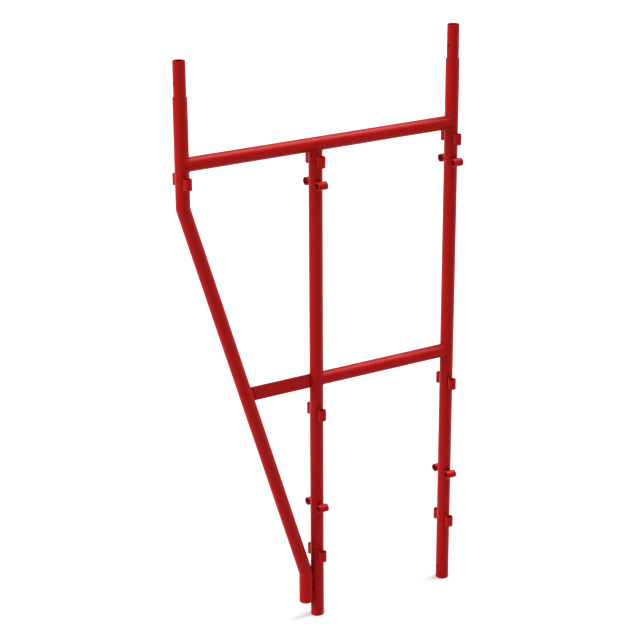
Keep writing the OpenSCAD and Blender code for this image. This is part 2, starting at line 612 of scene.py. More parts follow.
class Tree:
    """Small helper that places and links nodes in a node tree."""

    def __init__(self, tree: bpy.types.NodeTree) -> None:
        """Takes the tree to build in."""
        self.tree = tree

    def add(
        self, kind: str, inputs: dict[str | int, object] | None = None, **settings: object
    ) -> bpy.types.Node:
        """Places a node.

        Args:
            kind: The node's type.
            inputs: Values or sockets for its inputs, by name or number.
            settings: Settings of the node itself.

        Returns:
            The new node.
        """
        node = self.tree.nodes.new(kind)
        for name, value in settings.items():
            setattr(node, name, value)
        self.feed(node, inputs or {})
        return node

    def feed(self, node: bpy.types.Node, inputs: dict[str | int, object]) -> None:
        """Sets or links the inputs of a node.

        Args:
            node: The node.
            inputs: Values or sockets for its inputs, by name or number.
        """
        for name, value in inputs.items():
            if isinstance(value, bpy.types.NodeSocket):
                self.tree.links.new(value, node.inputs[name])
            else:
                node.inputs[name].default_value = value

    def math(
        self, operation: str, first: object, second: object = 0.0, clamp: bool = False
    ) -> bpy.types.NodeSocket:
        """Places a Math node and gives its output."""
        inputs = {0: first, 1: second}
        return self.add("ShaderNodeMath", inputs, operation=operation, use_clamp=clamp).outputs[0]

    def vector(
        self, operation: str, first: object, second: object = (0.0, 0.0, 0.0)
    ) -> bpy.types.Node:
        """Places a Vector Math node."""
        return self.add("ShaderNodeVectorMath", {0: first, 1: second}, operation=operation)

    def scale(self, vector: object, factor: object) -> bpy.types.NodeSocket:
        """Places a Vector Math node that scales a vector, and gives its output."""
        inputs = {0: vector, "Scale": factor}
        return self.add("ShaderNodeVectorMath", inputs, operation="SCALE").outputs[0]

    def ramp(
        self, value: object, low: float, high: float, out_low: float, out_high: float
    ) -> bpy.types.NodeSocket:
        """Places a smooth Map Range node.

        Args:
            value: The socket or value to map.
            low: Where the ramp starts.
            high: Where the ramp ends.
            out_low: The result below the ramp.
            out_high: The result above the ramp.

        Returns:
            The node's output.
        """
        ends = {"From Min": low, "From Max": high, "To Min": out_low, "To Max": out_high}
        inputs = {"Value": value, **ends}
        node = self.add("ShaderNodeMapRange", inputs, interpolation_type="SMOOTHSTEP")
        return node.outputs["Result"]

    def noise(
        self, vector: object, scale: object, detail: float = 2.0, roughness: float = 0.5
    ) -> bpy.types.NodeSocket:
        """Places a Noise Texture node and gives its value."""
        inputs = {"Vector": vector, "Scale": scale, "Detail": detail, "Roughness": roughness}
        return self.add("ShaderNodeTexNoise", inputs).outputs[0]

    def mix(self, factor: object, first: object, second: object) -> bpy.types.NodeSocket:
        """Places a Mix node for colours and gives its output."""
        node = self.add("ShaderNodeMix", {0: factor, 6: first, 7: second}, data_type="RGBA")
        return node.outputs[2]


def new_group(
    name: str, inputs: dict[str, tuple[str, object]], outputs: dict[str, str]
) -> tuple[Tree, bpy.types.Node, bpy.types.Node]:
    """Starts a shader node group.

    Args:
        name: The group's name.
        inputs: The socket type and default value of each input.
        outputs: The socket type of each output.

    Returns:
        The tree helper, the group's input node and its output node.
    """
    group = bpy.data.node_groups.new(name, "ShaderNodeTree")
    for label, (kind, default) in inputs.items():
        socket = group.interface.new_socket(label, in_out="INPUT", socket_type=kind)
        if default is not None:
            socket.default_value = default
    for label, kind in outputs.items():
        group.interface.new_socket(label, in_out="OUTPUT", socket_type=kind)
    tree = Tree(group)
    return tree, tree.add("NodeGroupInput"), tree.add("NodeGroupOutput")


def paint_skin_group() -> bpy.types.NodeTree:
    """Makes the group for sprayed paint: a slightly uneven tone and an orange-peel surface.

    Returns:
        The new group.
    """
    tree, source, result = new_group(
        "paint_skin",
        {
            "Place": (VECTOR, None),
            "Colour": (COLOUR, (0.5, 0.0, 0.0, 1.0)),
            "Thin Colour": (COLOUR, (0.3, 0.0, 0.0, 1.0)),
            "Tone Spread": (FLOAT, 0.3),
            "Peel Size": (FLOAT, 0.002),
        },
        {"Colour": COLOUR, "Height": FLOAT, "Mottle": FLOAT},
    )
    place = source.outputs["Place"]
    broad = tree.noise(place, scale=5.0, detail=3.0)
    fine = tree.noise(place, scale=160.0, detail=3.0)
    mottle = tree.math("ADD", tree.math("MULTIPLY", broad, 0.6), tree.math("MULTIPLY", fine, 0.4))
    patches = tree.ramp(mottle, 0.35, 0.65, 0.0, 1.0)
    share = tree.math("MULTIPLY", patches, source.outputs["Tone Spread"])
    colour = tree.mix(share, source.outputs["Colour"], source.outputs["Thin Colour"])
    peel_scale = tree.math("DIVIDE", 1.0, source.outputs["Peel Size"])
    peel = tree.noise(place, peel_scale, detail=1.0)
    tree.feed(result, {"Colour": colour, "Height": peel, "Mottle": mottle})
    return tree.tree


def edge_wear_group() -> bpy.types.NodeTree:
    """Makes the group for paint that is rubbed thin and chipped off along the rims.

    Returns:
        The new group.
    """
    tree, source, result = new_group(
        "edge_wear",
        {
            "Place": (VECTOR, None),
            "Rim": (FLOAT, 0.0),
            "Colour": (COLOUR, (0.5, 0.0, 0.0, 1.0)),
            "Bare Colour": (COLOUR, (0.3, 0.3, 0.3, 1.0)),
            "Amount": (FLOAT, 0.3),
        },
        {"Colour": COLOUR, "Bare": FLOAT},
    )
    chips = tree.noise(source.outputs["Place"], scale=420.0, detail=4.0, roughness=0.65)
    reach = tree.math("MULTIPLY", source.outputs["Rim"], source.outputs["Amount"])
    likely = tree.math("ADD", tree.math("MULTIPLY", chips, 0.75), reach)
    bare = tree.ramp(likely, 0.78, 0.84, 0.0, 1.0)
    colour = tree.mix(bare, source.outputs["Colour"], source.outputs["Bare Colour"])
    tree.feed(result, {"Colour": colour, "Bare": bare})
    return tree.tree


def settled_dust_group() -> bpy.types.NodeTree:
    """Makes the group for the thin dust that settles on what faces up.

    Returns:
        The new group.
    """
    tree, source, result = new_group(
        "settled_dust",
        {
            "Place": (VECTOR, None),
            "Colour": (COLOUR, (0.5, 0.0, 0.0, 1.0)),
            "Dust Colour": (COLOUR, (0.6, 0.5, 0.45, 1.0)),
            "Amount": (FLOAT, 0.1),
        },
        {"Colour": COLOUR, "Dust": FLOAT},
    )
    normal = tree.add("ShaderNodeNewGeometry").outputs["Normal"]
    up = tree.add("ShaderNodeSeparateXYZ", {0: normal}).outputs[2]
    grain = tree.noise(source.outputs["Place"], scale=38.0, detail=4.0, roughness=0.6)
    patches = tree.ramp(grain, 0.3, 0.75, 0.35, 1.0)
    facing = tree.math("MULTIPLY", tree.ramp(up, 0.2, 1.0, 0.0, 1.0), patches)
    dust = tree.math("MULTIPLY", facing, source.outputs["Amount"], clamp=True)
    colour = tree.mix(dust, source.outputs["Colour"], source.outputs["Dust Colour"])
    tree.feed(result, {"Colour": colour, "Dust": dust})
    return tree.tree


class Slot(Enum):
    """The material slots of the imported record."""

    TUBE = "tube_paint"
    SPIGOT = "spigot_paint"
    BAR = "bar_paint"
    SOCKET = "socket_paint"


@dataclass(frozen=True)
class PaintFinish:
    """A red paint finish on steel, with what its age has done to it."""

    name: str
    slot: Slot
    colour: tuple[float, float, float, float]
    thin_colour: tuple[float, float, float, float]
    tone_spread: float = 0.35
    roughness: float = 0.26
    gloss: float = 0.04
    rub: float = 0.0
    wear: float = 0.2
    dust: float = 0.015
    peel_size: float = 2.2 * MM
    peel_depth: float = 0.06 * MM
    streak_shrink: float = 0.03

    def material(self, groups: dict[str, bpy.types.NodeTree]) -> bpy.types.Material:
        """Builds the material.

        Args:
            groups: The shared node groups by name.

        Returns:
            The new material.
        """
        material = bpy.data.materials.new(self.name)
        material.use_nodes = True
        tree = Tree(material.node_tree)
        shader = next(n for n in tree.tree.nodes if n.type == "BSDF_PRINCIPLED")
        place = tree.add("ShaderNodeTexCoord").outputs["Object"]
        rim = tree.add("ShaderNodeAttribute", attribute_name=RIM).outputs["Fac"]
        skin_inputs = {
            "Place": place,
            "Colour": self.colour,
            "Thin Colour": self.thin_colour,
            "Tone Spread": self.tone_spread,
            "Peel Size": self.peel_size,
        }
        skin = tree.add("ShaderNodeGroup", skin_inputs, node_tree=groups["paint_skin"])
        dust_inputs = {"Place": place, "Colour": skin.outputs["Colour"], "Amount": self.dust}
        dust = tree.add("ShaderNodeGroup", dust_inputs, node_tree=groups["settled_dust"])
        dusted = dust.outputs["Colour"]
        wear_inputs = {"Place": place, "Rim": rim, "Colour": dusted, "Amount": self.wear}
        wear = tree.add("ShaderNodeGroup", wear_inputs, node_tree=groups["edge_wear"])
        bare = wear.outputs["Bare"]
        sunk = tree.math("SUBTRACT", skin.outputs["Height"], tree.math("MULTIPLY", bare, 1.5))
        bump_inputs = {"Strength": 1.0, "Distance": self.peel_depth, "Height": sunk}
        bump = tree.add("ShaderNodeBump", bump_inputs)
        looks = {
            "Base Color": wear.outputs["Colour"],
            "Roughness": self._roughness(tree, place, skin, dust),
            "Metallic": tree.math("MULTIPLY", bare, 0.8),
            "Normal": bump.outputs["Normal"],
            "Specular IOR Level": self.gloss,
        }
        tree.feed(shader, looks)
        return material

    def _roughness(
        self, tree: Tree, place: bpy.types.NodeSocket, skin: bpy.types.Node, dust: bpy.types.Node
    ) -> bpy.types.NodeSocket:
        """Gives the paint's roughness, with its mottle, its rubbed streaks and its dust.

        Args:
            tree: The material's tree.
            place: The place on the piece.
            skin: The group node of the paint.
            dust: The group node of the dust.

        Returns:
            The socket that holds it.
        """
        stretch = (1.0, 1.0, self.streak_shrink)
        stretched = tree.add("ShaderNodeMapping", {"Vector": place, "Scale": stretch})
        streaks = tree.noise(stretched.outputs[0], scale=900.0, detail=3.0, roughness=0.6)
        rubbed = tree.ramp(streaks, 0.35, 0.7, -self.rub, self.rub)
        smooth, rough = self.roughness - 0.04, self.roughness + 0.05
        mottled = tree.ramp(skin.outputs["Mottle"], 0.3, 0.7, smooth, rough)
        dusty = tree.math("MULTIPLY", dust.outputs["Dust"], 0.8)
        return tree.math("ADD", tree.math("ADD", mottled, rubbed), dusty, clamp=True)


# ---------------------------------------------------------------- weld beads


@dataclass
class Seam:
    """The line of one weld: its points, the way out of the corner at each, and the bead's size."""

    points: np.ndarray
    outwards: np.ndarray
    closed: bool
    size: float
    taper: float = 1.2
    thinnest: float = 0.04

    def sizes(self) -> np.ndarray:
        """Gives the bead's half width at each point, drawn in at the two ends of an open seam.

        Returns:
            One half width for each point.
        """
        sizes = np.full(len(self.points), self.size)
        if not self.closed:
            steps = np.linalg.norm(np.diff(self.points, axis=0), axis=1)
            along = np.concatenate(((0.0,), np.cumsum(steps)))
            to_end = np.minimum(along, along[-1] - along)
            sizes *= np.sqrt(np.clip(to_end / (self.taper * self.size), self.thinnest, 1.0))
        return sizes


class WeldTree:
    """The Geometry Nodes tree that lays a rippled weld bead along each seam."""

    SIDES = 14
    CREST_POWER = 0.6
    CREST_MEAN = 0.6
    INPUTS = {
        "Step": 0.4 * MM,
        "Flatness": 0.72,
        "Ripple Pitch": 2.1 * MM,
        "Ripple Depth": 0.22 * MM,
        "Crescent": 1.3,
        "Wander": 0.25 * MM,
        "Lump Size": 9 * MM,
    }

    def __init__(self) -> None:
        """Builds the tree."""
        group = bpy.data.node_groups.new("weld_bead", "GeometryNodeTree")
        face = group.interface
        face.new_socket("Seams", in_out="INPUT", socket_type="NodeSocketGeometry")
        self.ids: dict[str, str] = {}
        for name, value in self.INPUTS.items():
            socket = face.new_socket(name, in_out="INPUT", socket_type=FLOAT)
            socket.default_value = value
            self.ids[name] = socket.identifier
        for name, kind in (("Seed", FLOAT), ("Material", "NodeSocketMaterial")):
            self.ids[name] = face.new_socket(name, in_out="INPUT", socket_type=kind).identifier
        face.new_socket("Beads", in_out="OUTPUT", socket_type="NodeSocketGeometry")
        self.group = group
        self._build(Tree(group))

    def _build(self, tree: Tree) -> None:
        """Places the nodes.

        Args:
            tree: The tree to build in.
        """
        source = tree.add("NodeGroupInput").outputs
        curve = tree.add("GeometryNodeMeshToCurve", {"Mesh": source["Seams"]}).outputs["Curve"]
        even_inputs = {"Curve": curve, "Length": source["Step"]}
        even = tree.add("GeometryNodeResampleCurve", even_inputs, mode="LENGTH").outputs["Curve"]
        position = tree.add("GeometryNodeInputPosition").outputs[0]
        length = tree.add("GeometryNodeSplineParameter").outputs["Length"]
        kept = self._keep(tree, even, "seam_point", position)
        kept = self._keep(tree, kept, "seam_length", length)
        round_inputs = {"Resolution": self.SIDES, "Radius": 1.0}
        ring = tree.add("GeometryNodeCurvePrimitiveCircle", round_inputs, mode="RADIUS")
        sweep_inputs = {
            "Curve": kept,
            "Profile Curve": ring.outputs["Curve"],
            "Scale": self._read(tree, "bead_size", "FLOAT"),
            "Fill Caps": True,
        }
        mesh = tree.add("GeometryNodeCurveToMesh", sweep_inputs).outputs["Mesh"]
        place = self._shape(tree, source)
        for kind, inputs in (
            ("GeometryNodeSetPosition", {"Position": place}),
            ("GeometryNodeSetShadeSmooth", {"Shade Smooth": True}),
            ("GeometryNodeRealizeInstances", {}),
            ("GeometryNodeSetMaterial", {"Material": source["Material"]}),
        ):
            mesh = tree.add(kind, {"Geometry": mesh, **inputs}).outputs[0]
        tree.add("NodeGroupOutput", {0: mesh})

    def _keep(
        self, tree: Tree, geometry: bpy.types.NodeSocket, name: str, value: bpy.types.NodeSocket
    ) -> bpy.types.NodeSocket:
        """Stores a value on the points of the seam under a name.

        Args:
            tree: The tree to build in.
            geometry: The seam.
            name: The name to store the value under.
            value: The value.

        Returns:
            The seam with the value on it.
        """
        kind = "FLOAT_VECTOR" if value.type == "VECTOR" else "FLOAT"
        inputs = {"Geometry": geometry, "Name": name, "Value": value}
        node = tree.add("GeometryNodeStoreNamedAttribute", inputs, data_type=kind)
        return node.outputs["Geometry"]

    def _read(self, tree: Tree, name: str, kind: str) -> bpy.types.NodeSocket:
        """Reads a value that was stored under a name."""
        node = tree.add("GeometryNodeInputNamedAttribute", {"Name": name}, data_type=kind)
        return node.outputs["Attribute"]

    def _shape(self, tree: Tree, source: bpy.types.NodeInputs) -> bpy.types.NodeSocket:
        """Gives each point's place: flattened to the corner, lumpy, and rippled in crescents.

        Args:
            tree: The tree to build in.
            source: The sockets of the group's inputs.

        Returns:
            The socket that holds the place.
        """
        position = tree.add("GeometryNodeInputPosition").outputs[0]
        centre = self._read(tree, "seam_point", "FLOAT_VECTOR")
        out = self._read(tree, "outwards", "FLOAT_VECTOR")
        length = self._read(tree, "seam_length", "FLOAT")
        radial = tree.vector("SUBTRACT", position, centre).outputs[0]
        unit = tree.vector("NORMALIZE", radial).outputs[0]
        rise = tree.vector("DOT_PRODUCT", radial, out).outputs["Value"]
        crown = tree.vector("DOT_PRODUCT", unit, out).outputs["Value"]
        squash = tree.math("MULTIPLY", rise, tree.math("SUBTRACT", 1.0, source["Flatness"]))
        flat = tree.vector("SUBTRACT", radial, tree.scale(out, squash)).outputs[0]
        bow = tree.math("MULTIPLY", tree.math("MULTIPLY", crown, crown), source["Crescent"])
        phase = tree.math("ADD", tree.math("DIVIDE", length, source["Ripple Pitch"]), bow)
        wave = tree.math("ABSOLUTE", tree.math("SINE", tree.math("MULTIPLY", phase, math.pi)))
        crests = tree.math("POWER", wave, self.CREST_POWER)
        ridge = tree.math("SUBTRACT", crests, self.CREST_MEAN)
        fade = tree.ramp(crown, -0.1, 0.6, 0.0, 1.0)
        ripple = tree.math("MULTIPLY", tree.math("MULTIPLY", ridge, fade), source["Ripple Depth"])
        seeded = tree.vector("ADD", centre, tree.scale((1.0, 1.0, 1.0), source["Seed"])).outputs[0]
        lump = tree.noise(seeded, tree.math("DIVIDE", 1.0, source["Lump Size"]))
        sway = tree.math("MULTIPLY", source["Wander"], 4.0)
        wander = tree.math("MULTIPLY", tree.math("SUBTRACT", lump, 0.5), sway)
        swell = tree.scale(unit, tree.math("ADD", ripple, wander))
        return tree.vector("ADD", centre, tree.vector("ADD", flat, swell).outputs[0]).outputs[0]

    def lay(self, name: str, seams: list[Seam], material: bpy.types.Material) -> bpy.types.Object:
        """Lays the beads of several seams as one piece.

        Args:
            name: The piece's name.
            seams: The seams to weld.
            material: The finish of the beads.

        Returns:
            The finished piece, a plain mesh.
        """
        piece = self._seam_object(name, seams)
        modifier = piece.modifiers.new("beads", "NODES")
        modifier.node_group = self.group
        modifier[self.ids["Seed"]] = float(SEED)
        modifier[self.ids["Material"]] = material
        for label, value in self.INPUTS.items():
            modifier[self.ids[label]] = value
        graph = bpy.context.evaluated_depsgraph_get()
        graph.update()
        mesh = bpy.data.meshes.new_from_object(piece.evaluated_get(graph))
        piece.modifiers.clear()
        piece.data = mesh
        for spare in ("seam_point", "seam_length", "outwards", "bead_size"):
            if spare in mesh.attributes:
                mesh.attributes.remove(mesh.attributes[spare])
        return piece

    def _seam_object(self, name: str, seams: list[Seam]) -> bpy.types.Object:
        """Makes the object that holds the seams as lines of edges.

        Args:
            name: The piece's name.
            seams: The seams to hold.

        Returns:
            The new object.
        """
        edges: list[tuple[int, int]] = []
        start = 0
        for seam in seams:
            count = len(seam.points)
            edges += [(start + i, start + i + 1) for i in range(count - 1)]
            if seam.closed:
                edges.append((start + count - 1, start))
            start += count
        mesh = bpy.data.meshes.new(name + "_seams")
        mesh.from_pydata(np.concatenate([s.points for s in seams]).tolist(), edges, [])
        for fact, kind, slot, rows in (
            ("outwards", "FLOAT_VECTOR", "vector", [s.outwards for s in seams]),
            ("bead_size", "FLOAT", "value", [s.sizes() for s in seams]),
        ):
            values = np.concatenate(rows).astype(np.float32)
            mesh.attributes.new(fact, kind, "POINT").data.foreach_set(slot, values.ravel())
        piece = bpy.data.objects.new(name, mesh)
        bpy.context.scene.collection.objects.link(piece)
        return piece


# ---------------------------------------------------------------- the frame's sub-assemblies


@dataclass
class Workshop:
    """What every sub-assembly needs: the finishes by slot, and the weld tree."""

    finishes: dict[Slot, bpy.types.Material]
    welds: WeldTree

    def dress(self, piece: bpy.types.Object, slot: Slot, *nodes: str) -> bpy.types.Object:
        """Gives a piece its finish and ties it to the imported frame.

        Args:
            piece: The piece.
            slot: The finish it takes.
            nodes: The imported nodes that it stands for.

        Returns:
            The same piece.
        """
        if not piece.data.materials:
            piece.data.materials.append(self.finishes[slot])
        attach(piece, BODY)
        if nodes:
            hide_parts(*nodes)
        log.info("%s: %d faces, %s", piece.name, len(piece.data.polygons), slot.value)
        return piece

    def dress_welds(self, name: str, seams: list[Seam]) -> bpy.types.Object:
        """Lays the beads of several seams as one piece in the tubes' finish, and dresses it."""
        return self.dress(self.welds.lay(name, seams, self.finishes[Slot.TUBE]), Slot.TUBE)


@dataclass
class FrameSizes:
    """The sizes that the sub-assemblies share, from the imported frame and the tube's own gauge."""

    wall: float = 2.7 * MM
    spigot_wall: float = 2.6 * MM
    spigot_hold: float = 130 * MM
    foot_bore: float = 43.5 / 2 * MM
    foot_bore_length: float = 150 * MM
    lock_radius: float = 5.5 * MM
    lock_height: float = 48 * MM
    gap: float = 0.2 * MM
    slope: float = math.radians(17.3)
    high_bend_z: float = 1629 * MM
    bend_leg: float = 4.2 * MM

    def __post_init__(self) -> None:
        """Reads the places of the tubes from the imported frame."""
        low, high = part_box("straight_standard")
        self.radius = (high.x - low.x) / 2
        self.bore = self.radius - self.wall
        self.straight_x = (low.x + high.x) / 2
        self.height = high.z
        low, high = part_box("middle_standard")
        self.middle_x = (low.x + high.x) / 2
        low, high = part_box("bent_standard")
        self.bent_x = low.x + self.radius
        self.stub_x = high.x - self.radius
        self.stub_z = low.z
        low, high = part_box("top_transom")
        self.top_z = (low.z + high.z) / 2
        low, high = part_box("low_transom")
        self.low_z = (low.z + high.z) / 2
        low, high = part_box("straight_spigot")
        self.spigot_radius = (high.x - low.x) / 2
        self.spigot_top = high.z

    def tube(self, name: str, run: Run, length: float, **details: object) -> TubeWall:
        """Gives a tube of the frame's own gauge.

        Args:
            name: The piece's name.
            run: The line that the tube follows.
            length: The tube's length along that line.
            details: Its saddles, holes, stations and foot bore.

        Returns:
            The tube, ready to build.
        """
        return TubeWall(name, run, length, self.radius, self.bore, **details)


@dataclass
class Standards:
    """The three upright tubes that carry the frame."""

    sizes: FrameSizes
    bend_steps: int = 8
    clear_of_saddle: float = 20 * MM
    step: float = 0.1
    clear_of_ends: float = 0.06

    def build(self, shop: Workshop) -> None:
        """Builds and dresses the standards.

        Args:
            shop: The finishes and the weld tree.
        """
        s = self.sizes
        holes = [PinHole(s.lock_height, s.lock_radius, side) for side in BOTH_WALLS]
        foot = {"holes": holes, "foot_bore": s.foot_bore, "foot_bore_length": s.foot_bore_length}
        stub = Vector((s.stub_x, 0, s.stub_z))
        bent = BentRun(stub, s.bent_x, s.height, s.high_bend_z, s.slope, s.bend_leg)
        below_saddle = s.top_z - s.radius - self.clear_of_saddle
        bends = bent.bend_stations(self.bend_steps)
        straight_details = {"stations": self._even(s.height), **foot}
        saddle = {"saddle_end": s.radius + s.gap}
        middle_details = {"stations": self._even(below_saddle), **saddle, **foot}
        straight, middle = (StraightRun(Vector((x, 0, 0))) for x in (s.straight_x, s.middle_x))
        for name, run, length, details in (
            ("straight_standard", straight, s.height, straight_details),
            ("middle_standard", middle, s.top_z, middle_details),
            ("bent_standard", bent, bent.length, {"stations": self._even(bent.length) + bends}),
        ):
            shop.dress(s.tube(f"{name}_tube", run, length, **details).build(), Slot.TUBE, name)

    def _even(self, length: float) -> list[float]:
        """Gives distances at an even step, clear of the two ends."""
        marks = [k * self.step for k in range(1, int(length / self.step))]
        return [mark for mark in marks if length - mark > self.clear_of_ends]


@dataclass
class Spigots:
    """The two sleeves that stand in the heads of the outer standards."""

    sizes: FrameSizes
    chamfer: float = 1.2 * MM
    near_shoulder: tuple[float, ...] = (-4 * MM, 0.0, 5 * MM)

    def build(self, shop: Workshop) -> None:
        """Builds and dresses both spigots.

        Args:
            shop: The finishes and the weld tree.
        """
        s = self.sizes
        for side, x in (("straight", s.straight_x), ("bent", s.bent_x)):
            start = s.height - s.spigot_hold
            along = s.spigot_hold + s.lock_height
            sleeve = TubeWall(
                f"{side}_spigot_sleeve",
                StraightRun(Vector((x, 0, start))),
                s.spigot_top - start,
                s.spigot_radius,
                s.spigot_radius - s.spigot_wall,
                holes=[PinHole(along, s.lock_radius, turn) for turn in BOTH_WALLS],
                stations=[s.spigot_hold + step for step in self.near_shoulder],
                chamfer=self.chamfer,
            )
            shop.dress(sleeve.build(), Slot.SPIGOT, f"{side}_spigot")


@dataclass
class CrossMembers:
    """The two level tubes and the flat tie bar, with the welds at their ends."""

    sizes: FrameSizes
    bead: float = 1.7 * MM
    bar_bead: float = 1.6 * MM
    stand: float = 0.8 * MM
    bar_seam_points: int = 90
    stretches: int = 10

    def build(self, shop: Workshop) -> None:
        """Builds and dresses the cross members and their welds.

        Args:
            shop: The finishes and the weld tree.
        """
        s = self.sizes
        saddle = s.radius + s.gap
        spans = {
            "top_transom": (s.bent_x, s.straight_x, s.top_z),
            "low_transom": (s.middle_x, s.straight_x, s.low_z),
        }
        seams: list[Seam] = []
        for name, (x0, x1, z) in spans.items():
            tube = s.tube(
                f"{name}_tube",
                StraightRun(Vector((x0, 0, z)), tilt=LEVEL),
                x1 - x0,
                saddle_start=saddle,
                saddle_end=saddle,
                stations=[k * (x1 - x0) / self.stretches for k in range(1, self.stretches)],
            )
            shop.dress(tube.build(), Slot.TUBE, name)
            for x, way in ((x0, 1.0), (x1, -1.0)):
                corner = Vector((x, 0, z))
                seams.append(self._saddle_seam(corner, Vector((way, 0, 0)), Vector((0, 0, 1))))
        head = Vector((s.middle_x, 0, s.top_z))
        seams.append(self._saddle_seam(head, Vector((0, 0, -1)), Vector((1, 0, 0))))
        shop.dress_welds("transom_weld_beads", seams)
        self._tie_bar(shop)

    def _saddle_seam(self, corner: Vector, way: Vector, across: Vector, count: int = 120) -> Seam:
        """Gives the seam where a tube ends on the side of another of the same size.

        Args:
            corner: Where the two axes meet.
            way: The direction of the tube that ends there.
            across: The direction of the tube that runs through.
            count: How many points the seam has.

        Returns:
            The closed seam.
        """
        s = self.sizes
        turns = np.linspace(0.0, 2 * math.pi, count, endpoint=False)
        reach = np.sqrt((s.radius + self.stand) ** 2 - (s.radius * np.sin(turns)) ** 2)
        round_tube = np.outer(np.sin(turns), SIDEWAYS) + np.outer(np.cos(turns), np.array(across))
        points = np.array(corner) + np.outer(reach, np.array(way)) + s.radius * round_tube
        through = np.outer(reach, np.array(way)) + np.outer(s.radius * np.sin(turns), SIDEWAYS)
        return Seam(points, unit_rows(round_tube + unit_rows(through)), True, self.bead)

    def _tie_bar(self, shop: Workshop) -> None:
        """Builds the flat bar and the welds at its ends.

        Args:
            shop: The finishes and the weld tree.
        """
        s = self.sizes
        low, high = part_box("tie_bar")
        bar = FlatBar("tie_bar_flat", (low.z + high.z) / 2, high.z - low.z, high.y - low.y)
        outline = bar.outline()
        start, end = self._bar_ends(outline, bar.middle_z)
        shop.dress(bar.build(start, end), Slot.BAR, "tie_bar")
        dense = self._resampled(outline, self.bar_seam_points)
        start, end = self._bar_ends(dense, bar.middle_z)
        tangent = unit_rows(np.roll(dense, -1, axis=0) - np.roll(dense, 1, axis=0))
        face = np.stack((np.zeros(len(dense)), tangent[:, 1], -tangent[:, 0]), axis=1)
        seams = []
        for ends, way in ((start, 1.0), (end, -1.0)):
            places = (ends + way * s.gap, dense[:, 0], bar.middle_z + dense[:, 1])
            outwards = unit_rows(face + np.array((way, 0.0, 0.0)))
            seams.append(Seam(np.stack(places, axis=1), outwards, True, self.bar_bead))
        shop.dress_welds("tie_bar_weld_beads", seams)

    def _bar_ends(self, outline: np.ndarray, middle_z: float) -> tuple[np.ndarray, np.ndarray]:
        """Gives where the bar's outline meets the diagonal tube and the middle standard.

        Args:
            outline: The bar's outline.
            middle_z: The height of the bar's middle.

        Returns:
            The X of each end, for every place of the outline.
        """
        s = self.sizes
        y, z = outline[:, 0], middle_z + outline[:, 1]
        half = np.sqrt((s.radius + s.gap) ** 2 - y**2)
        axis_x = s.bent_x + (s.high_bend_z - z) * math.tan(s.slope)
        return axis_x + half / math.cos(s.slope), s.middle_x - half

    def _resampled(self, outline: np.ndarray, count: int) -> np.ndarray:
        """Gives a closed outline at even steps.

        Args:
            outline: The outline, one row for each place.
            count: How many places to give.

        Returns:
            The new outline.
        """
        closed = np.vstack((outline, outline[:1]))
        steps = np.linalg.norm(np.diff(closed, axis=0), axis=1)
        along = np.concatenate(((0.0,), np.cumsum(steps)))
        even = np.linspace(0.0, along[-1], count, endpoint=False)
        return np.stack([np.interp(even, along, closed[:, k]) for k in range(2)], axis=1)


